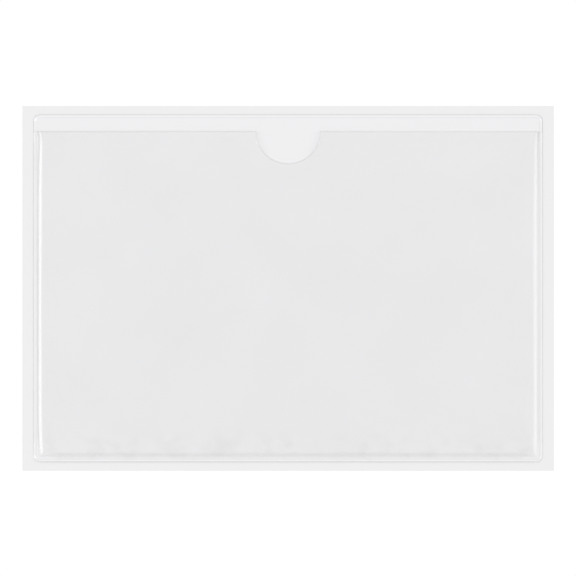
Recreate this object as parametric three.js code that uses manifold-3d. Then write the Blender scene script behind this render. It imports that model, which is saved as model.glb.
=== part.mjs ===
// Adhesive label pocket: a plastic pocket, open along its top edge, that sticks to a box or a file and
// holds a card label. A clear front film is welded to a white back film along three sides, and the two are
// cut out in one stroke. The back film carries an adhesive coat, and a sheet of release paper covers the
// coat until it is used.
//
// Millimetres. The liner's underside is z = 0, the mouth is on the +Y side, and +Z is the face that is read.

import * as THREE from 'three';
import { mergeVertices } from 'three/addons/utils/BufferGeometryUtils.js';
import Module from 'manifold-3d';

const wasm = await Module();
wasm.setup();

// The card that the pocket is made for, and the room left round it
const cardWidth = 152.4;
const cardHeight = 101.6;
const sidePlay = 2.5; // on each side of the card, up to the weld
const bottomPlay = 0.85; // under the card, up to the weld

// Outline of the pocket
const weldWidth = 0.8; // the pressed band that joins the films
const mouthDrop = 5.25; // the front film stops this far below the back film's top edge
const cornerRadius = 2; // of the cut
const weldCornerRadius = 1.5; // of the weld's inner line
const notchRadius = 10.2; // half-round thumb notch in the middle of the mouth

// Thicknesses
const linerThickness = 0.12;
const adhesiveThickness = 0.05;
const backThickness = 0.2;
const frontThickness = 0.2;
const weldedThickness = 0.15; // of the front film where the tool has pressed it
const pressDepth = 0.04; // the tool's groove in the back film

// The liner stands out round the pocket
const linerSideMargin = 3.5;
const linerEndMargin = 2.75;

// Form of the front film, as heights of its underside over the back film's face
const crestRise = 0.46; // the film domes up beside the weld
const panelRise = 0.3; // and comes down to a panel, which leaves the card space open
const crestRun = 1.6; // from the weld's inner line to the crest
const crestFall = 2.6; // from the crest down to the panel
const lipLift = 0.3; // the mouth edge gapes a little
const lipReach = 7; // the gape dies away over this distance from the mouth
const lipEnd = 14; // and over this distance from the welds
const notchLift = 0.3; // the film's points beside the thumb notch stand up further
const notchReach = 6; // and ease down over this distance
const rollHeight = 0.06; // slow waves left in the panel by the roll
const rollLength = 61; // of one wave
const grooveClearance = 0.1; // between the rising film and the groove's wall

// How finely the curved film is divided
const seamSteps = 4; // stations on the rise and on the fall
const panelStep = 5.5; // spacing across the panel
const lipStep = 2.2; // spacing near the mouth
const blankTrim = 1; // spare film that the cut takes away
const arcSegments = 16; // for a rounded corner or the notch

// Worked out from the driving dimensions
const pocketWidth = cardWidth + 2 * (sidePlay + weldWidth);
const pocketHeight = mouthDrop + cardHeight + bottomPlay + weldWidth;
const linerWidth = pocketWidth + 2 * linerSideMargin;
const linerHeight = pocketHeight + 2 * linerEndMargin;
const halfWidth = pocketWidth / 2;
const halfHeight = pocketHeight / 2;
const mouthY = halfHeight - mouthDrop;
const adhesiveZ = linerThickness;
const backZ = adhesiveZ + adhesiveThickness;
const faceZ = backZ + backThickness;
const grooveZ = faceZ - pressDepth;
const pressedRise = -pressDepth;

// Materials
const linerPaper = new THREE.MeshStandardMaterial({ color: 0xf2f2f0, roughness: 0.55, metalness: 0 });
const adhesive = new THREE.MeshStandardMaterial({ color: 0xeeeeea, roughness: 0.35, metalness: 0 });
const backFilm = new THREE.MeshStandardMaterial({ color: 0xecedf0, roughness: 0.22, metalness: 0 });
const frontFilm = new THREE.MeshStandardMaterial({ color: 0xe8e9ed, roughness: 0.14, metalness: 0 });

// Booleans: a closed geometry becomes a solid, and a solid becomes a geometry again
function toSolid(geometry) {
  const bare = geometry.clone();
  bare.deleteAttribute('normal');
  bare.deleteAttribute('uv');
  const merged = mergeVertices(bare);
  return new wasm.Manifold(new wasm.Mesh({
    numProp: 3,
    vertProperties: new Float32Array(merged.attributes.position.array),
    triVerts: new Uint32Array(merged.index.array),
  }));
}

function toGeometry(solid) {
  const mesh = solid.getMesh();
  const geometry = new THREE.BufferGeometry();
  geometry.setAttribute('position', new THREE.BufferAttribute(mesh.vertProperties, mesh.numProp));
  geometry.setIndex(new THREE.BufferAttribute(mesh.triVerts, 1));
  geometry.computeVertexNormals();
  return geometry;
}

// A flat piece with rounded corners, from height z up
function roundedPlate(width, height, radius, z, thickness) {
  const x = width / 2;
  const y = height / 2;
  const shape = new THREE.Shape();
  shape.absarc(x - radius, y - radius, radius, 0, Math.PI / 2);
  shape.absarc(-x + radius, y - radius, radius, Math.PI / 2, Math.PI);
  shape.absarc(-x + radius, -y + radius, radius, Math.PI, 1.5 * Math.PI);
  shape.absarc(x - radius, -y + radius, radius, 1.5 * Math.PI, 2 * Math.PI);
  shape.closePath();
  return new THREE.ExtrudeGeometry(shape, {
    depth: thickness,
    bevelEnabled: false,
    curveSegments: arcSegments,
  }).translate(0, 0, z);
}

// Release liner: a plain sheet with square corners
function makeLiner() {
  return new THREE.BoxGeometry(linerWidth, linerHeight, linerThickness).translate(0, 0, linerThickness / 2);
}

// Adhesive coat: all over the back film, out to its cut edge
function makeAdhesive() {
  return roundedPlate(pocketWidth, pocketHeight, cornerRadius, adhesiveZ, adhesiveThickness);
}

// Back film: a plate with the welding tool's groove round its rim. The groove runs along the top edge too,
// where there is no front film, and leaves the thin second line seen there.
function makeBackSheet() {
  const inset = weldWidth + grooveClearance;
  const base = roundedPlate(pocketWidth, pocketHeight, cornerRadius, backZ, grooveZ - backZ);
  const face = roundedPlate(
    pocketWidth - 2 * inset,
    pocketHeight - 2 * inset,
    weldCornerRadius - grooveClearance,
    backZ,
    faceZ - backZ,
  );
  return toGeometry(toSolid(base).add(toSolid(face)));
}

// Distance from the weld's inner line, positive inside the pocket. The mouth side has no weld.
function insideWeld(x, y) {
  const acrossX = Math.abs(x) - (halfWidth - weldWidth - weldCornerRadius);
  const acrossY = -y - (halfHeight - weldWidth - weldCornerRadius);
  const outer = Math.hypot(Math.max(acrossX, 0), Math.max(acrossY, 0));
  const inner = Math.min(Math.max(acrossX, acrossY), 0);
  return weldCornerRadius - outer - inner;
}

// Height of the front film's underside over the back film's face
function filmRise(x, y) {
  const inside = insideWeld(x, y);
  if (inside <= 0) return pressedRise;
  if (inside < crestRun) {
    const climb = 1 - (1 - inside / crestRun) ** 2;
    return pressedRise + (crestRise - pressedRise) * climb;
  }
  const fall = Math.min((inside - crestRun) / crestFall, 1);
  const crest = (crestRise - panelRise) * (1 + Math.cos(Math.PI * fall)) / 2;
  const past = inside - crestRun;
  const below = Math.max(mouthY - y, 0);
  const free = 1 - Math.exp(-((past / lipEnd) ** 2));
  const lip = lipLift * Math.exp(-below / lipReach) * free;
  const besideNotch = Math.max(Math.abs(x) - notchRadius, 0);
  const point = notchLift * Math.exp(-(besideNotch + below) / notchReach);
  const roll = rollHeight * Math.sin((2 * Math.PI * (x + y / 2)) / rollLength) * free;
  return panelRise + crest + lip + point + roll;
}

// Thickness of the front film: pressed thin in the weld, full from the crest on
function filmThickness(x, y) {
  const share = THREE.MathUtils.clamp(insideWeld(x, y) / crestRun, 0, 1);
  return THREE.MathUtils.lerp(weldedThickness, frontThickness, share);
}

// Stations beside a weld, as distances from the cut edge: spare film, the weld, the rise and the fall
function seamStations() {
  const stations = [-blankTrim, weldWidth];
  for (let i = 1; i <= seamSteps; i += 1) stations.push(weldWidth + (crestRun * i) / seamSteps);
  for (let i = 1; i <= seamSteps; i += 1) stations.push(weldWidth + crestRun + (crestFall * i) / seamSteps);
  return stations;
}

// Even stations between two places, both left out
function between(from, to, step) {
  const count = Math.round((to - from) / step);
  return Array.from({ length: count - 1 }, (_, i) => from + ((to - from) * (i + 1)) / count);
}

function stationsAcross() {
  const left = seamStations().map((distance) => distance - halfWidth);
  const right = left.map((x) => -x).reverse();
  return [...left, ...between(left.at(-1), right[0], panelStep), ...right];
}

function stationsUp() {
  const bottom = seamStations().map((distance) => distance - halfHeight);
  const lipY = mouthY - 1.5 * lipReach;
  const panel = between(bottom.at(-1), lipY, panelStep);
  const lip = between(lipY, mouthY, lipStep);
  return [...bottom, ...panel, lipY, ...lip, mouthY + blankTrim];
}

// Front film: a blank formed to its heights, then cut to the pocket's outline with the notched mouth
function makeFrontSheet() {
  const across = stationsAcross();
  const up = stationsUp();
  const blank = new THREE.BoxGeometry(across.length - 1, up.length - 1, 1, across.length - 1, up.length - 1, 1);
  blank.translate((across.length - 1) / 2, (up.length - 1) / 2, 0.5);
  const points = blank.attributes.position;
  for (let i = 0; i < points.count; i += 1) {
    const x = across[Math.round(points.getX(i))];
    const y = up[Math.round(points.getY(i))];
    const top = Math.round(points.getZ(i)) * filmThickness(x, y);
    points.setXYZ(i, x, y, faceZ + filmRise(x, y) + top);
  }

  const outline = new THREE.Shape();
  outline.moveTo(halfWidth, mouthY);
  outline.lineTo(notchRadius, mouthY);
  outline.absarc(0, mouthY, notchRadius, 0, Math.PI, true);
  outline.lineTo(-halfWidth, mouthY);
  outline.absarc(-halfWidth + cornerRadius, -halfHeight + cornerRadius, cornerRadius, Math.PI, 1.5 * Math.PI);
  outline.absarc(halfWidth - cornerRadius, -halfHeight + cornerRadius, cornerRadius, 1.5 * Math.PI, 2 * Math.PI);
  outline.closePath();
  const knifeTravel = 4 * (crestRise + lipLift + notchLift + frontThickness);
  const knife = new THREE.ExtrudeGeometry(outline, {
    depth: knifeTravel,
    bevelEnabled: false,
    curveSegments: arcSegments,
  }).translate(0, 0, faceZ - knifeTravel / 2);
  return toGeometry(toSolid(blank).intersect(toSolid(knife)));
}

// The assembly, from the bottom up
const pocket = new THREE.Group();

function addPiece(name, geometry, material) {
  const mesh = new THREE.Mesh(geometry, material);
  mesh.name = name;
  pocket.add(mesh);
}

addPiece('release_liner', makeLiner(), linerPaper);
addPiece('adhesive_coat', makeAdhesive(), adhesive);
addPiece('back_sheet', makeBackSheet(), backFilm);
addPiece('front_sheet', makeFrontSheet(), frontFilm);

export default pocket;
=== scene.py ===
# %% [markdown]
# # An adhesive label pocket
#
# The pocket is two soft films, a clear one over a white one, welded together round three sides and cut
# out in one stroke. The white back film has an adhesive coat, and a sheet of release paper covers the
# coat until the pocket is used. It lies flat, so the camera looks straight down on it.
#
# Clear film is hard to show, because there is almost nothing to see. What gives it away are its cut
# edges, the raised crest beside the weld, the gloss, and the faint veil that it lays over the white film
# behind it. Each of these gets its own step here.

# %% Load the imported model
import math

import bmesh
import bpy
import numpy as np
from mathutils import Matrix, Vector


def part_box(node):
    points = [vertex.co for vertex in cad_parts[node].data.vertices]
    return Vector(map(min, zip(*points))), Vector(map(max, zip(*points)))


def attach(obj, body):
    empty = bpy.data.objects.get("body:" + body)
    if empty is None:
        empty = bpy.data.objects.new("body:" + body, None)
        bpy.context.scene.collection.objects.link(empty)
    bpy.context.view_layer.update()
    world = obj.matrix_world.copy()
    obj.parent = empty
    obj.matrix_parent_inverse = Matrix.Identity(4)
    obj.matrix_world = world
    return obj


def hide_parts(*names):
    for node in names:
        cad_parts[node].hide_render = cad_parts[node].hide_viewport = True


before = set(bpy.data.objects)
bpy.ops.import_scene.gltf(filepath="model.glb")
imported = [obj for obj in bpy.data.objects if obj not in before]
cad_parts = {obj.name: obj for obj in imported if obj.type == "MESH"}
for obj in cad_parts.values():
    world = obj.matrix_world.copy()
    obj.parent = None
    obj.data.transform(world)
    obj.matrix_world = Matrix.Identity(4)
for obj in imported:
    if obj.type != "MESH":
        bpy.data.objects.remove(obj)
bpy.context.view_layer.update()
print("pieces in the frame:", sorted(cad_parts))

# %% [markdown]
# The frame gives the outline and the height of every layer. What a box can't tell is named here: the
# corners, the thumb notch, the weld and its groove. They are as the solids have them, except the notch,
# which the photograph shows 0.15 mm smaller.

# %% Sizes, in metres
MM = 0.001

back_low, back_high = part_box("back_sheet")
coat_low, coat_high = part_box("adhesive_coat")
film_low, film_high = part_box("front_sheet")

half_width = back_high.x
half_height = back_high.y
mouth_y = film_high.y
face_z = back_high.z
groove_z = film_low.z

corner_radius = 2 * MM
notch_radius = 10.05 * MM
weld_width = 0.8 * MM
weld_corner = 1.5 * MM
groove_clearance = 0.1 * MM
hair = 0.004 * MM  # kept between faces that touch, so that neither hides the other

print(f"pocket {2 * half_width / MM:.1f} x {2 * half_height / MM:.1f} mm, mouth at {mouth_y / MM:.2f} mm")

# %% [markdown]
# The camera stands high above with a long lens, so that the sheet's edges stay parallel and the flat film
# mirrors the same piece of sky all over, as in the photograph. One pixel there is 0.3125 mm, which a card
# of a standard size between the welds gives.

# %% Camera
PHOTO_SIDE = 576
PIXEL = 0.3125 * MM
OBJECT_CENTRE_PX = (288.07, 288.43)
CAMERA_HEIGHT = 1.8
SENSOR = 36

camera_data = bpy.data.cameras.new("camera")
camera_data.sensor_width = SENSOR
camera_data.lens = SENSOR * (CAMERA_HEIGHT - face_z) / (PHOTO_SIDE * PIXEL)
camera = bpy.data.objects.new("camera", camera_data)
camera.location = (
    (PHOTO_SIDE / 2 - OBJECT_CENTRE_PX[0]) * PIXEL,
    (OBJECT_CENTRE_PX[1] - PHOTO_SIDE / 2) * PIXEL,
    CAMERA_HEIGHT,
)
bpy.context.scene.collection.objects.link(camera)
bpy.context.scene.camera = camera
print(f"lens {camera_data.lens:.0f} mm")

# %% [markdown]
# Modelling by hand means selecting things by where they are. These helpers do that in code: one starts a
# piece from a primitive, one selects what passes a test, one applies a modifier, and one prints how many
# triangles a piece has.

# %% Modelling helpers


def begin(name):
    """Names the primitive that was just added, and bakes its place and size into its mesh."""
    piece = bpy.context.object
    piece.name = name
    piece.data.name = name
    bpy.ops.object.transform_apply(location=True, rotation=True, scale=True)
    return piece


def choose(kind, test):
    """In edit mode, selects the vertices, edges or faces whose middle passes the test."""
    bpy.context.tool_settings.mesh_select_mode = (kind == "VERT", kind == "EDGE", kind == "FACE")
    bpy.ops.mesh.select_all(action="DESELECT")
    shape = bmesh.from_edit_mesh(bpy.context.object.data)
    items = {"VERT": shape.verts, "EDGE": shape.edges, "FACE": shape.faces}[kind]
    for item in items:
        if kind == "VERT":
            middle = item.co
        elif kind == "EDGE":
            middle = (item.verts[0].co + item.verts[1].co) / 2
        else:
            middle = item.calc_center_median()
        item.select_set(test(middle))
    shape.select_flush_mode()
    bmesh.update_edit_mesh(bpy.context.object.data)


def apply_modifier(piece, kind, **settings):
    """Adds a modifier, sets it up and applies it."""
    modifier = piece.modifiers.new(kind.lower(), kind)
    for name, value in settings.items():
        setattr(modifier, name, value)
    bpy.ops.object.modifier_apply(modifier=modifier.name)


def count(piece):
    triangles = sum(len(face.vertices) - 2 for face in piece.data.polygons)
    print(f"{piece.name}: {triangles} triangles")


# %% [markdown]
# The adhesive coat and the back film have the same outline, a rectangle with small round corners. Each
# starts as a cube of its own size. Its four upright edges are bevelled round, which is quicker and truer
# than drawing the arcs.

# %% A plate with round corners
CORNER_STEPS = 10


def add_plate(name, low_z, high_z, shrink=0.0):
    """A plate between two heights, with the pocket's outline, drawn in a little by shrink."""
    bpy.ops.object.select_all(action="DESELECT")
    bpy.ops.mesh.primitive_cube_add(size=1, location=(0, 0, (low_z + high_z) / 2))
    width = 2 * (half_width - shrink)
    height = 2 * (half_height - shrink)
    bpy.context.object.scale = (width, height, high_z - low_z)
    plate = begin(name)
    bpy.ops.object.mode_set(mode="EDIT")
    middle_z = (low_z + high_z) / 2
    choose("EDGE", lambda at: abs(at.z - middle_z) < hair)
    bpy.ops.mesh.bevel(offset=corner_radius - shrink, segments=CORNER_STEPS, affect="EDGES")
    bpy.ops.object.mode_set(mode="OBJECT")
    return plate


# %% [markdown]
# The coat is spread on before the pocket is cut, so it ends at the cut, a hair inside it.

# %% Adhesive coat
COAT_SHRINK = 0.03 * MM

coat = add_plate("pale_adhesive", coat_low.z + hair, coat_high.z - hair, COAT_SHRINK)
count(coat)

# %% [markdown]
# The welding tool presses a groove into the back film along all four sides. Along three of them the
# front film lies in it. Along the top nothing does, and the groove's wall shows as a thin second line
# inside the cut. On the plate, the top face is inset by the groove's width and raised by its depth, and
# then all the sharp edges are softened together. Smooth shading alone would let these tiny bevels tilt
# the light all over the large face beside them, so Weighted Normal gives the large face its say.

# %% Back film
GROOVE_INSET = weld_width + groove_clearance
EDGE_SOFTNESS = 0.03 * MM
SHARP = math.radians(50)

back_film = add_plate("back_film", back_low.z + hair, groove_z)
bpy.ops.object.mode_set(mode="EDIT")
choose("FACE", lambda at: at.z > groove_z - hair)
bpy.ops.mesh.inset(thickness=GROOVE_INSET, depth=0)
bpy.ops.mesh.extrude_region_move(TRANSFORM_OT_translate={"value": (0, 0, face_z - groove_z)})
bpy.ops.object.mode_set(mode="OBJECT")
apply_modifier(
    back_film,
    "BEVEL",
    width=EDGE_SOFTNESS / 2,
    segments=2,
    limit_method="ANGLE",
    angle_limit=SHARP,
)
bpy.ops.object.shade_smooth_by_angle(angle=SHARP)
apply_modifier(back_film, "WEIGHTED_NORMAL", mode="FACE_AREA", weight=100, keep_sharp=True)
count(back_film)

# %% [markdown]
# The front film is the piece that takes most care. It is drawn flat first, as its cutting die would be:
# a rectangle that ends at the mouth, its two lower corners rounded, and a half circle spun out of the
# middle of the mouth for the thumb.

# %% Front film, the flat outline
NOTCH_STEPS = 48

bpy.ops.object.select_all(action="DESELECT")
bpy.ops.mesh.primitive_plane_add(size=1, location=(0, (mouth_y - half_height) / 2, 0))
bpy.context.object.scale = (2 * half_width, mouth_y + half_height, 1)
front_film = begin("front_film")
bpy.ops.object.mode_set(mode="EDIT")
choose("VERT", lambda at: at.y < 0)
bpy.ops.mesh.bevel(offset=corner_radius, segments=CORNER_STEPS, affect="VERTICES")
choose("EDGE", lambda at: at.y > mouth_y - hair)
bpy.ops.mesh.subdivide(number_cuts=2)
shape = bmesh.from_edit_mesh(front_film.data)
for vertex in shape.verts:
    if vertex.co.y > mouth_y - hair and abs(vertex.co.x) < half_width / 2:
        vertex.co.x = math.copysign(notch_radius, vertex.co.x)
bmesh.update_edit_mesh(front_film.data)
choose("FACE", lambda at: True)
bpy.ops.mesh.delete(type="ONLY_FACE")
choose("EDGE", lambda at: at.y > mouth_y - hair and abs(at.x) < notch_radius / 2)
bpy.ops.mesh.delete(type="EDGE")
choose("VERT", lambda at: at.y > mouth_y - hair and abs(at.x - notch_radius) < hair)
bpy.ops.mesh.spin(steps=NOTCH_STEPS, angle=math.pi, center=(0, mouth_y, 0), axis=(0, 0, 1))
bpy.ops.mesh.select_all(action="SELECT")
bpy.ops.mesh.remove_doubles(threshold=hair)
bpy.ops.mesh.edge_face_add()
bpy.ops.object.mode_set(mode="OBJECT")
lowest = min(v.co.y for v in front_film.data.vertices if abs(v.co.x) < notch_radius / 2 and v.co.y > 0)
print(f"the notch goes down to {lowest / MM:.2f} mm, and the mouth is at {mouth_y / MM:.2f} mm")

# %% [markdown]
# A flat face can't bend, so it is cut into columns and rows. They stand close together beside the welds,
# where the film turns sharply, and further apart over the panel. One more runs along the shoulder of the
# weld, a hair's breadth before the film rises, so that the pressed film stays flat up to there. Bisect
# cuts the whole outline along a plane, and leaves the arcs as they are.

# %% Front film, cut into columns and rows
CREST_RUN = 2.15 * MM
CREST_FALL = 2.6 * MM
WELD_SHOULDER = 0.15 * MM
RISE_CUTS = 12
FALL_CUTS = 10
PAST_THE_FALL = 1.3  # the close cuts go on to here, in falls
PANEL_SPACING = 1.7 * MM
LIP_ZONE = 4 * MM
LIP_SPACING = 0.5 * MM


def beside_weld():
    """Distances from the cut edge of the cuts beside a weld."""
    rise = np.linspace(weld_width, weld_width + CREST_RUN, RISE_CUTS + 1)
    fall = np.linspace(rise[-1], rise[-1] + PAST_THE_FALL * CREST_FALL, FALL_CUTS + 1)
    return np.concatenate([[weld_width - WELD_SHOULDER], rise, fall[1:]])


def spread(start, end, spacing):
    """Places from start to end, about spacing apart, without the two ends."""
    return np.linspace(start, end, max(int((end - start) / spacing), 1) + 1)[1:-1]


left = -half_width + beside_weld()
columns = np.concatenate([left, spread(left[-1], -left[-1], PANEL_SPACING), -left[::-1]])
bottom = -half_height + beside_weld()
lip_start = mouth_y - LIP_ZONE
rows = np.concatenate([
    bottom,
    spread(bottom[-1], lip_start, PANEL_SPACING),
    spread(lip_start - LIP_SPACING, mouth_y, LIP_SPACING),
])

bpy.ops.object.mode_set(mode="EDIT")
for places, direction in ((columns, (1, 0, 0)), (rows, (0, 1, 0))):
    for place in places:
        bpy.ops.mesh.select_all(action="SELECT")
        bpy.ops.mesh.bisect(plane_co=[place * axis for axis in direction], plane_no=direction)
bpy.ops.object.mode_set(mode="OBJECT")
print(f"{len(columns)} columns, {len(rows)} rows, {len(front_film.data.polygons)} faces")

# %% [markdown]
# Beside a weld, one number says most about the film: how far inside the weld's inner line it is. But a
# seam is never quite straight. Where a side weld ends, at the mouth and in the lower corners, the film is
# gathered and turns over sooner, and on the left it also leaves the groove further in there. On the right
# it leaves the groove a little further in all the way down, and runs further to its crest. Along both
# sides the crest wanders by a tenth of a millimetre. So one helper measures the distance, and another says
# where the film leaves the groove at each place, and how far it runs from there to its crest. The crest
# stands further in than in the solids, as the photograph has it.

# %% Front film, its seam
GATHER_REACH = 8 * MM
PINCH_REACH = 1.2 * MM  # just below the mouth, where the weld's end holds the film down
START_TOP_LEFT = 0.8 * MM
START_BOTTOM_LEFT = 0.65 * MM
START_RIGHT = 0.25 * MM
START_BOTTOM_RIGHT = 0.15 * MM
RUN_RIGHT = 0.35 * MM
SHORTER_TOP = 0.75 * MM
SHORTER_BOTTOM = 0.35 * MM
SHORTER_PINCH = 0.6 * MM
WANDER = 0.12 * MM
WANDER_LENGTH = 70 * MM


def inside_weld(x, y):
    """Distance from the weld's inner line, positive inside. The mouth side has no weld."""
    across = np.abs(x) - (half_width - weld_width - weld_corner)
    down = -y - (half_height - weld_width - weld_corner)
    outer = np.hypot(np.maximum(across, 0), np.maximum(down, 0))
    inner = np.minimum(np.maximum(across, down), 0)
    return weld_corner - outer - inner


def seam(x, y):
    """Where the film leaves the groove, inside the weld, and how far it runs from there to the crest."""
    on_left = x < 0
    # 1 beside a side weld, 0 over the panel
    aside = np.clip((np.abs(x) + GATHER_REACH - half_width) / (GATHER_REACH / 2), 0, 1)
    below = np.maximum(mouth_y - y, 0)
    top = np.exp(-below / GATHER_REACH)
    pinch = np.exp(-below / PINCH_REACH)
    bottom = np.exp(-(((half_height + y) / GATHER_REACH) ** 2))
    start_left = START_TOP_LEFT * top * (1 - pinch) + START_BOTTOM_LEFT * bottom
    start_right = START_RIGHT * (1 - top) + START_BOTTOM_RIGHT * bottom
    shorter = SHORTER_TOP * top + SHORTER_PINCH * pinch + SHORTER_BOTTOM * bottom
    wander = WANDER * np.sin(2 * np.pi * y / WANDER_LENGTH + np.sign(x))
    start = aside * np.where(on_left, start_left, start_right)
    run = CREST_RUN + aside * (np.where(on_left, 0, RUN_RIGHT) - shorter + wander)
    return start, run


for side, x in (("left", -half_width), ("right", half_width)):
    start, run = seam(x, 0)
    print(f"halfway up the {side}, the crest stands {(start + run) / MM:.2f} mm inside the weld")

# %% [markdown]
# Now each point gets its height. The film lies in the groove at the weld. It climbs out steeply, then more
# and more gently, turns over at the crest, and comes down to a panel that lies just clear of the back
# film. The climb is a parabola. Its slope falls off evenly, so it mirrors each softbox as one clean line.
# Towards the mouth the film gapes, and its two points beside the notch stand up a little further. Slow
# waves from the roll run across it. These rises and reaches are the solids' own.

# %% Front film, its heights
CREST_RISE = 0.46 * MM
PANEL_RISE = 0.3 * MM
LIP_LIFT = 0.3 * MM
LIP_REACH = 7 * MM
LIP_END = 14 * MM
NOTCH_LIFT = 0.3 * MM
NOTCH_REACH = 6 * MM
ROLL_HEIGHT = 0.06 * MM
ROLL_LENGTH = 61 * MM


def film_rise(x, y):
    """Height of the front film's underside over the back film's face."""
    pressed = groove_z - face_z + hair
    start, run = seam(x, y)
    inside = inside_weld(x, y) - start
    climb = 1 - (1 - np.clip(inside / run, 0, 1)) ** 2
    up = pressed + (CREST_RISE - pressed) * climb
    past = np.maximum(inside - run, 0)
    fall = np.minimum(past / CREST_FALL, 1)
    free = 1 - np.exp(-((past / LIP_END) ** 2))
    below = np.maximum(mouth_y - y, 0)
    crest = (CREST_RISE - PANEL_RISE) * (1 + np.cos(np.pi * fall)) / 2
    lip = LIP_LIFT * np.exp(-below / LIP_REACH) * free
    point = NOTCH_LIFT * np.exp(-(np.maximum(np.abs(x) - notch_radius, 0) + below) / NOTCH_REACH)
    roll = ROLL_HEIGHT * np.sin(2 * np.pi * (x + y / 2) / ROLL_LENGTH) * free
    return np.where(inside < run, up, PANEL_RISE + crest + lip + point + roll)


points = np.zeros(3 * len(front_film.data.vertices))
front_film.data.vertices.foreach_get("co", points)
points = points.reshape(-1, 3)
points[:, 2] = face_z + film_rise(points[:, 0], points[:, 1])
front_film.data.vertices.foreach_set("co", points.ravel())
print(f"the film's underside lies {points[:, 2].min() / MM:.2f} to {points[:, 2].max() / MM:.2f} mm up")

# %% [markdown]
# The film has one thickness, except in the weld, where the tool has squeezed it, and up the slope, where
# it grows back. Solidify takes that from a vertex group. A small bevel then rounds the cut edges, so that
# they catch a line of light.

# %% Front film, its thickness
FILM_THICKNESS = 0.2 * MM
WELDED_SHARE = 0.75

full = front_film.vertex_groups.new(name="full_thickness")
shares = np.clip(inside_weld(points[:, 0], points[:, 1]) / CREST_RUN, 0, 1)
for index, share in enumerate(shares):
    full.add([index], float(share), "REPLACE")
apply_modifier(
    front_film,
    "SOLIDIFY",
    thickness=FILM_THICKNESS,
    offset=1,
    vertex_group=full.name,
    thickness_vertex_group=WELDED_SHARE,
)
apply_modifier(front_film, "BEVEL", width=EDGE_SOFTNESS, segments=2, limit_method="ANGLE", angle_limit=SHARP)
bpy.ops.object.shade_smooth_by_angle(angle=SHARP)
apply_modifier(front_film, "WEIGHTED_NORMAL", mode="FACE_AREA", weight=100, keep_sharp=True)
count(front_film)

# %% [markdown]
# ## Materials
#
# Shader maths reads best as ordinary sums. One class wraps a socket, so that an expression such as
# `1 - mask * 2` adds its own Math nodes, and one method adds any other node. Lengths in a material are in
# millimetres, apart from the height of a bump, which Blender takes in metres.

# %% A small language for nodes


class Socket:
    """A number that runs along a link. Sums with it add Math nodes."""

    def __init__(self, recipe, output):
        self.recipe = recipe
        self.output = output

    def __add__(self, other):
        return self.recipe.maths("ADD", self, other)

    def __radd__(self, other):
        return self.recipe.maths("ADD", other, self)

    def __sub__(self, other):
        return self.recipe.maths("SUBTRACT", self, other)

    def __rsub__(self, other):
        return self.recipe.maths("SUBTRACT", other, self)

    def __mul__(self, other):
        return self.recipe.maths("MULTIPLY", self, other)

    def __rmul__(self, other):
        return self.recipe.maths("MULTIPLY", other, self)

    def __pow__(self, other):
        return self.recipe.maths("POWER", self, other)


class Recipe:
    """A material under construction."""

    def __init__(self, name):
        self.material = bpy.data.materials.new(name)
        self.material.use_nodes = True
        self.tree = self.material.node_tree
        self.tree.nodes.clear()

    def add(self, kind, settings=None, inputs=None, output=0):
        """Adds a node: its settings are set first, then its sockets get their values or links."""
        node = self.tree.nodes.new("ShaderNode" + kind)
        for name, value in (settings or {}).items():
            setattr(node, name, value)
        for name, value in (inputs or {}).items():
            if isinstance(value, Socket):
                self.tree.links.new(value.output, node.inputs[name])
            else:
                node.inputs[name].default_value = value
        return Socket(self, node.outputs[output]) if node.outputs else node

    def maths(self, operation, *values):
        return self.add("Math", {"operation": operation}, dict(enumerate(values)))

    def smooth(self, value, start, end):
        """0 at start, 1 at end, with a soft passage between them."""
        inputs = {"Value": value, "From Min": start, "From Max": end}
        return self.add("MapRange", {"interpolation_type": "SMOOTHSTEP"}, inputs)

    def line(self, distance, middle, width):
        """1 where the distance is middle, and 0 from a width away."""
        return 1 - self.smooth(self.maths("ABSOLUTE", distance - middle), 0, width)

    def place(self):
        """Where a point lies on the piece, in millimetres: across, up and the whole vector."""
        where = self.add("TexCoord", output="Object")
        scaled = self.add("VectorMath", {"operation": "SCALE"}, {"Vector": where, "Scale": 1 / MM})
        parts = self.add("SeparateXYZ", inputs={"Vector": scaled})
        node = parts.output.node
        return Socket(self, node.outputs["X"]), Socket(self, node.outputs["Y"]), scaled

    def noise(self, where, size, detail=2.0, seed=0.0, roughness=0.5):
        """Soft noise from 0 to 1, with patches of about this size in millimetres."""
        settings = {"noise_dimensions": "4D"}
        inputs = {"Vector": where, "W": seed, "Scale": 1 / size, "Detail": detail, "Roughness": roughness}
        return self.add("TexNoise", settings, inputs)

    def mix(self, share, first, second):
        return self.add("MixShader", inputs={0: share, 1: first, 2: second})

    def colour(self, share, first, second):
        """A colour between two others."""
        first, second = (value if isinstance(value, Socket) else (*value, 1) for value in (first, second))
        inputs = {"Factor": share, "A": first, "B": second}
        node = self.tree.nodes.new("ShaderNodeMix")
        node.data_type = "RGBA"
        for socket in node.inputs:
            if socket.enabled and socket.name in inputs:
                value = inputs[socket.name]
                if isinstance(value, Socket):
                    self.tree.links.new(value.output, socket)
                else:
                    socket.default_value = value
        return Socket(self, next(o for o in node.outputs if o.enabled))

    def finish(self, surface):
        self.add("OutputMaterial", inputs={"Surface": surface})
        return self.material


# %% [markdown]
# Fine lines, such as the dark line along a cut, follow the outline. The shader works out how far a point
# is from the cut, with the same sums as for the mesh. So the lines stay sharp at any distance.

# %% Distances from the outline, in millimetres


def cut_distance(recipe, x, y):
    """How far inside the pocket's cut edge a point lies."""
    across = recipe.maths("ABSOLUTE", x) - (half_width - corner_radius) / MM
    along = recipe.maths("ABSOLUTE", y) - (half_height - corner_radius) / MM
    over_x = recipe.maths("MAXIMUM", across, 0)
    over_y = recipe.maths("MAXIMUM", along, 0)
    outer = recipe.maths("SQRT", over_x * over_x + over_y * over_y)
    inner = recipe.maths("MINIMUM", recipe.maths("MAXIMUM", across, along), 0)
    return corner_radius / MM - outer - inner


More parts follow.
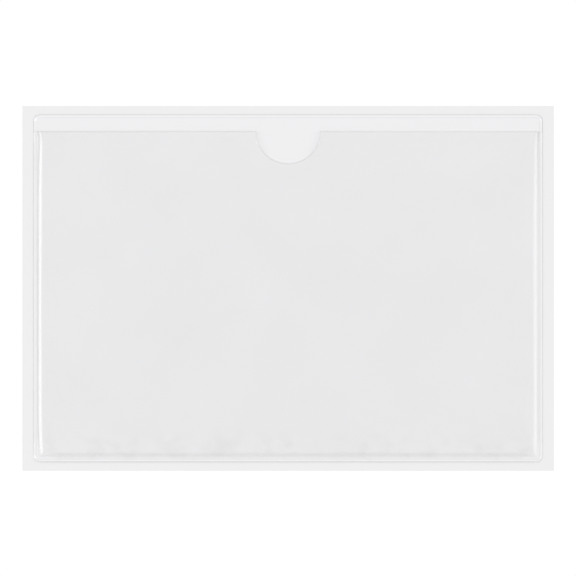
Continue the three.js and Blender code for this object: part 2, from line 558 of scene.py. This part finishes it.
def mouth_distance(recipe, x, y):
    """How far below the mouth and its notch a point of the front film lies."""
    below = mouth_y / MM - y
    from_centre = recipe.maths("SQRT", x * x + below * below)
    return recipe.maths("MINIMUM", below, from_centre - notch_radius / MM)


# %% [markdown]
# Release paper is white, smooth and nearly matt. Close to, it has faint cloudy fibres.

# %% Release paper
PAPER_WHITE = (0.832, 0.832, 0.831)
PAPER_SHADE = (0.822, 0.822, 0.822)
PAPER_CLOUD_SIZE = 6
FIBRE_SIZE = 0.35
FIBRE_HEIGHT = 0.01 * MM


def release_paper():
    recipe = Recipe("release_paper")
    where = recipe.place()[2]
    cloud = recipe.noise(where, PAPER_CLOUD_SIZE, detail=4, seed=1)
    fibres = recipe.noise(where, FIBRE_SIZE, detail=3, seed=2)
    bump = recipe.add("Bump", inputs={"Strength": 0.15, "Distance": FIBRE_HEIGHT, "Height": fibres})
    surface = recipe.add("BsdfPrincipled", inputs={
        "Base Color": recipe.colour(cloud, PAPER_SHADE, PAPER_WHITE),
        "Roughness": 0.55,
        "Specular IOR Level": 0.25,
        "Normal": bump,
    })
    return recipe.finish(surface)


# %% [markdown]
# A film is clear: most light goes straight through, a little is scattered by its body, and its surface
# mirrors a few hundredths, more where it turns away. Schlick's formula gives the mirrored share from how
# squarely the surface faces the eye. The Fresnel node isn't used, because from inside the film it mirrors
# all light at a slant, as water does seen from below, and a thin film would go dark there.

# %% Clear film
HEAD_ON_GLOSS = 0.030


def clear_film(recipe, haze, body, roughness, normal):
    """Clear film that scatters a share of the light, its haze, in its body colour, and is glossy."""
    facing = recipe.add("LayerWeight", inputs={"Blend": 0.5, "Normal": normal}, output="Facing")
    mirrored = HEAD_ON_GLOSS + (1 - HEAD_ON_GLOSS) * facing**5
    matt = recipe.add("BsdfDiffuse", inputs={"Color": (*body, 1), "Normal": normal})
    gloss = recipe.add("BsdfGlossy", inputs={"Color": (1, 1, 1, 1), "Roughness": roughness, "Normal": normal})
    through = recipe.mix(haze, recipe.add("BsdfTransparent"), matt)
    return recipe.mix(mirrored, through, gloss)


# %% [markdown]
# The back film is soft and white, with a breath of blue. It is as bright as the bare paper beside it,
# which a clear film stuck down on paper never is. So lines painted into its colour show where it ends:
# painted shade along its cut edge, weaker painted shade along the groove's wall inside that, and between
# them a lighter pressed band, partly the pressed film's own tone and partly painted highlight. The lines
# are weaker beside the side welds, where the front film covers them.

# %% Back film, painted shade and highlight along its outline
CUT_LINE_WIDTH = 0.24
CUT_FADING_ASIDE = 0.45
CUT_FADING_RIGHT = 0.4
GROOVE_LINE_WIDTH = 0.2
GROOVE_DARKNESS = 0.24
GROOVE_FADING_LEFT = 0.8
BAND_PLACE = 0.3
BAND_WIDTH = 0.3
BAND_SHIFT_BELOW = 0.25
CORNER_BLEND = 4
COVERED_BELOW = (0, 1)  # from the mouth down, the front film covers the sides
LEFT_RIM = (2, 3)
RIGHT_REACH = 8
RIGHT_BELOW = (3, 6)


def rim_places(recipe, x, y):
    """Distances from the nearer side and from the bottom edge, and a mask of the bottom rim."""
    from_side = half_width / MM - recipe.maths("ABSOLUTE", x)
    from_bottom = half_height / MM + y
    along_bottom = recipe.smooth(from_side - from_bottom, 0, CORNER_BLEND)
    return from_side, from_bottom, along_bottom


def outline_shade_and_highlight(recipe, x, y):
    """How much painted shade the back film gets along the cut and the groove, and how much lighter the
    pressed band between them is, partly painted highlight.
    """
    cut = cut_distance(recipe, x, y)
    below = mouth_y / MM - y
    along_bottom = rim_places(recipe, x, y)[2]
    along_side = recipe.smooth(below, *COVERED_BELOW) * (1 - along_bottom)
    on_left = 1 - recipe.smooth(half_width / MM + x, *LEFT_RIM)
    on_right = 1 - recipe.smooth(half_width / MM - x, 0, RIGHT_REACH)
    on_right = on_right * recipe.smooth(below, *RIGHT_BELOW)
    # The dark line along the cut edge is painted shade.
    edge = recipe.line(cut, 0, CUT_LINE_WIDTH)
    edge = edge * (1 - CUT_FADING_ASIDE * along_side) * (1 - CUT_FADING_RIGHT * on_right * along_side)
    # The line along the groove's wall is weaker painted shade.
    groove = recipe.line(cut, GROOVE_INSET / MM, GROOVE_LINE_WIDTH) * (1 - GROOVE_FADING_LEFT * on_left)
    dark = recipe.maths("MAXIMUM", edge, GROOVE_DARKNESS * groove)
    # The lighter pressed band is partly painted highlight.
    light = recipe.line(cut, BAND_PLACE + BAND_SHIFT_BELOW * along_bottom, BAND_WIDTH)
    return dark, light


# %% [markdown]
# The clear front film leaves its marks on the white behind it. Its edge draws a thin line of shade under
# itself, and throws a thin line of light before itself, at the notch's deep end and on the right. Inside
# the notch, the two raised points shade the white softly. These marks are drawn, because the mouth stands
# too low for the studio's wide lights to make them.

# %% Back film, the marks of the mouth
MOUTH_SHADE = 0.24
MOUTH_SHADE_PLACE = -0.1
MOUTH_SHADE_WIDTH = 0.4
MOUTH_FADING_RIGHT = 0.5
MOUTH_FADING_ACROSS = (8, 30)
NOTCH_SHADE = 0.13
NOTCH_SHADE_REACH = 2.8
NOTCH_SHADE_START = (-0.3, 0.3)  # below the mouth
NOTCH_SHADE_END = (4, 8)
NOTCH_SHADE_STOP = 0.2  # under the film's edge
GLINT = 0.6
GLINT_PLACE = -0.6
GLINT_WIDTH = 0.3
GLINT_BELOW = (5, 9)
GLINT_SHARE_RIGHT = 0.6
GLINT_ACROSS = (20, 60)


def mouth_marks(recipe, x, y):
    """How dark and how light the front film's edge makes the back film."""
    below = mouth_y / MM - y
    mouth = mouth_distance(recipe, x, y)
    fading = 1 - MOUTH_FADING_RIGHT * recipe.smooth(x, *MOUTH_FADING_ACROSS)
    under_edge = MOUTH_SHADE * recipe.line(mouth, MOUTH_SHADE_PLACE, MOUTH_SHADE_WIDTH) * fading
    beside_points = recipe.smooth(below, *NOTCH_SHADE_START) * (1 - recipe.smooth(below, *NOTCH_SHADE_END))
    before_edge = recipe.smooth(mouth, -NOTCH_SHADE_REACH, 0)
    inside_notch = before_edge * (1 - recipe.smooth(mouth, 0, NOTCH_SHADE_STOP))
    dark = recipe.maths("MAXIMUM", under_edge, NOTCH_SHADE * inside_notch * beside_points)
    deep_in_notch = recipe.smooth(below, *GLINT_BELOW)
    on_right = GLINT_SHARE_RIGHT * recipe.smooth(x, *GLINT_ACROSS)
    where_lit = recipe.maths("MAXIMUM", deep_in_notch, on_right)
    light = GLINT * recipe.line(mouth, GLINT_PLACE, GLINT_WIDTH) * where_lit
    return dark, light


# %% [markdown]
# With its painted lines of shade and highlight worked out, the back film's finish is a plain one: smooth,
# glossy and very slightly rippled.

# %% Back film's finish
# Beside the white, the lighter colour serves the pressed band and the painted highlights, and the grey one
# all the painted shade.
BACK_WHITE = (0.838, 0.838, 0.850)
BACK_PRESSED_AND_HIGHLIGHT = (0.895, 0.895, 0.905)
BACK_PAINTED_SHADE = (0.58, 0.58, 0.60)
BACK_ROUGHNESS = 0.13
BACK_RIPPLE_SIZE = 9
BACK_RIPPLE_HEIGHT = 0.02 * MM


def back_film_finish():
    recipe = Recipe("back_film")
    x, y, where = recipe.place()
    outline_dark, outline_light = outline_shade_and_highlight(recipe, x, y)
    mouth_dark, mouth_light = mouth_marks(recipe, x, y)
    # The dark and light marks are painted shade and painted highlight.
    dark = recipe.maths("MAXIMUM", outline_dark, mouth_dark)
    light = recipe.maths("MAXIMUM", outline_light, mouth_light)
    ripple = recipe.noise(where, BACK_RIPPLE_SIZE, detail=2, seed=3)
    bump = recipe.add("Bump", inputs={"Strength": 0.3, "Distance": BACK_RIPPLE_HEIGHT, "Height": ripple})
    surface = recipe.add("BsdfPrincipled", inputs={
        "Base Color": recipe.colour(dark, recipe.colour(light, BACK_WHITE, BACK_PRESSED_AND_HIGHLIGHT), BACK_PAINTED_SHADE),
        "Roughness": BACK_ROUGHNESS,
        "Specular IOR Level": 0.4,
        "Normal": bump,
    })
    return recipe.finish(surface)


# %% [markdown]
# For the clear front film, the finish is mostly a question of how much haze each place has, and its haze
# also carries painted shade. Over the panel there is little, in slow clouds, with a touch more in the
# middle. Near the bottom weld the film is creased, and its creases are painted as patches of shade. The
# strongest is painted shade: a line along the cut edge of the mouth, and a band on the slope beside the weld.

# %% Front film's haze and painted shade
CLOUD_SIZE = 22
CLOUD_HAZE = 0.024
MIDDLE_HAZE = 0.004
MIDDLE_FROM_SIDE = (5, 45)
MIDDLE_FROM_MOUTH = (5, 50)
CREASE_SIZE = 5
CREASE_SHADE = 0.018
CREASE_CONTRAST = (0.48, 0.64)
CREASE_END = (4, 12)  # up from the bottom edge
EDGE_WIDTH = 0.32
MOUTH_EDGE_SHADE = 0.07
SLOPE_PLACE = 1.25
SLOPE_SHIFT_BELOW = 1.05
SLOPE_WIDTH = 0.75
SLOPE_SPREAD_BELOW = 0.3
SLOPE_SHADE = 0.09
SLOPE_FADING_BELOW = 0.6
SLOPE_FADING_IN_CORNERS = 0.6
CORNER_END = (4, 9)


def haze_and_painted_shade(recipe, x, y, where):
    """The share of light that the front film scatters, with painted shade in the creases, along the mouth's
    edge and on the slope beside the weld.
    """
    cut = cut_distance(recipe, x, y)
    mouth = mouth_distance(recipe, x, y)
    from_side, from_bottom, along_bottom = rim_places(recipe, x, y)
    cloud = recipe.noise(where, CLOUD_SIZE, detail=3, seed=4)
    middle = recipe.smooth(from_side, *MIDDLE_FROM_SIDE) * recipe.smooth(mouth, *MIDDLE_FROM_MOUTH)
    crease = recipe.noise(where, CREASE_SIZE, detail=4, seed=7, roughness=0.65)
    # The crease patches are painted shade.
    creased = recipe.smooth(crease, *CREASE_CONTRAST) * (1 - recipe.smooth(from_bottom, *CREASE_END))
    panel = CLOUD_HAZE * cloud + MIDDLE_HAZE * middle + CREASE_SHADE * creased
    slope_place = SLOPE_PLACE + SLOPE_SHIFT_BELOW * along_bottom
    slope_width = SLOPE_WIDTH + SLOPE_SPREAD_BELOW * along_bottom
    corner = (1 - recipe.smooth(from_side, *CORNER_END)) * (1 - recipe.smooth(from_bottom, *CORNER_END))
    fading = (1 - SLOPE_FADING_BELOW * along_bottom) * (1 - SLOPE_FADING_IN_CORNERS * corner)
    # The band on the slope beside the weld is painted shade.
    slope = SLOPE_SHADE * recipe.line(cut, slope_place, slope_width) * fading
    # The line along the mouth's cut edge is painted shade.
    edge = MOUTH_EDGE_SHADE * recipe.line(mouth, 0, EDGE_WIDTH)
    return panel + recipe.maths("MAXIMUM", edge, slope)


# %% [markdown]
# The haze, painted shade and all, then goes into the clear film, together with the ripples that bend what
# its gloss mirrors.

# %% Front film's finish
# Where the haze is painted shade, this grey body is its colour.
FILM_BODY = (0.43, 0.43, 0.40)
FILM_ROUGHNESS = 0.18
FILM_RIPPLE_SIZE = 11
FILM_RIPPLE_HEIGHT = 0.03 * MM


def front_film_finish():
    recipe = Recipe("front_film")
    x, y, where = recipe.place()
    haze = haze_and_painted_shade(recipe, x, y, where)
    ripple = recipe.noise(where, FILM_RIPPLE_SIZE, detail=3, seed=5)
    bump = recipe.add("Bump", inputs={"Strength": 0.4, "Distance": FILM_RIPPLE_HEIGHT, "Height": ripple})
    return recipe.finish(clear_film(recipe, haze, FILM_BODY, FILM_ROUGHNESS, bump))


# %% [markdown]
# The adhesive coat is hidden between the back film and the paper. Only its thin edge shows, pale and
# finely speckled.

# %% Adhesive's finish
ADHESIVE_PALE = (0.78, 0.77, 0.74)
ADHESIVE_SPECK = (0.74, 0.73, 0.69)
SPECK_SIZE = 0.8


def adhesive_finish():
    recipe = Recipe("pale_adhesive")
    where = recipe.place()[2]
    speckle = recipe.noise(where, SPECK_SIZE, detail=2, seed=6)
    surface = recipe.add("BsdfPrincipled", inputs={
        "Base Color": recipe.colour(speckle, ADHESIVE_SPECK, ADHESIVE_PALE),
        "Roughness": 0.3,
    })
    return recipe.finish(surface)


# %% [markdown]
# Each piece gets its finish, stands for its solid in the frame, and rides on the one body. The paper's
# own solid is right as it is, so it only gets the paper.

# %% Dress the pieces


def dress(piece, finish):
    piece.data.materials.clear()
    piece.data.materials.append(finish)


dress(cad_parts["release_liner"], release_paper())

for piece, finish, node, slot in (
    (coat, adhesive_finish(), "adhesive_coat", "adhesive"),
    (back_film, back_film_finish(), "back_sheet", "back_film"),
    (front_film, front_film_finish(), "front_sheet", "front_film"),
):
    dress(piece, finish)
    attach(piece, "root")
    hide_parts(node)

# %% [markdown]
# ## The studio
#
# The floor is plain and almost white. Soft light comes from the whole sky and from two softboxes, one on
# each side. The sky straight above stays plain, because flat film mirrors it. The softboxes stand to the
# left and right of that, so only the turned film beside the welds mirrors them, as bright lines. The left
# one is stronger, and so is its line. They are far away, which keeps the light even over the whole sheet.

# %% Floor and light
FLOOR_SIDE = 8
FLOOR_DROP = 0.02 * MM
FLOOR_WHITE = (0.98, 0.98, 0.98)
SKY = 0.762
SOFTBOX_DISTANCE = 3
SOFTBOX_WIDTH = 1.2
SOFTBOX_LENGTH = 1.5


def add_floor():
    bpy.ops.object.select_all(action="DESELECT")
    bpy.ops.mesh.primitive_plane_add(size=FLOOR_SIDE, location=(0, 0, -FLOOR_DROP))
    floor = begin("floor")
    recipe = Recipe("floor")
    surface = recipe.add("BsdfDiffuse", inputs={"Color": (*FLOOR_WHITE, 1)})
    floor.data.materials.append(recipe.finish(surface))


def add_softbox(name, from_zenith, power):
    """A softbox of this many watts, this many degrees from straight above, towards +X if positive."""
    bpy.ops.object.select_all(action="DESELECT")
    angle = math.radians(from_zenith)
    place = (SOFTBOX_DISTANCE * math.sin(angle), 0, SOFTBOX_DISTANCE * math.cos(angle))
    bpy.ops.object.light_add(type="AREA", location=place, rotation=(0, angle, 0))
    light = bpy.context.object
    light.name = name
    light.data.shape = "RECTANGLE"
    light.data.size = SOFTBOX_WIDTH
    light.data.size_y = SOFTBOX_LENGTH
    light.data.energy = power


def add_sky(strength):
    world = bpy.data.worlds.new("sky")
    world.use_nodes = True
    background = world.node_tree.nodes["Background"]
    background.inputs["Color"].default_value = (1, 1, 1, 1)
    background.inputs["Strength"].default_value = strength
    bpy.context.scene.world = world


add_floor()
add_sky(SKY)
add_softbox("softbox_left", from_zenith=-27, power=19)
add_softbox("softbox_right", from_zenith=29, power=11)
bpy.context.scene.view_settings.view_transform = "Standard"
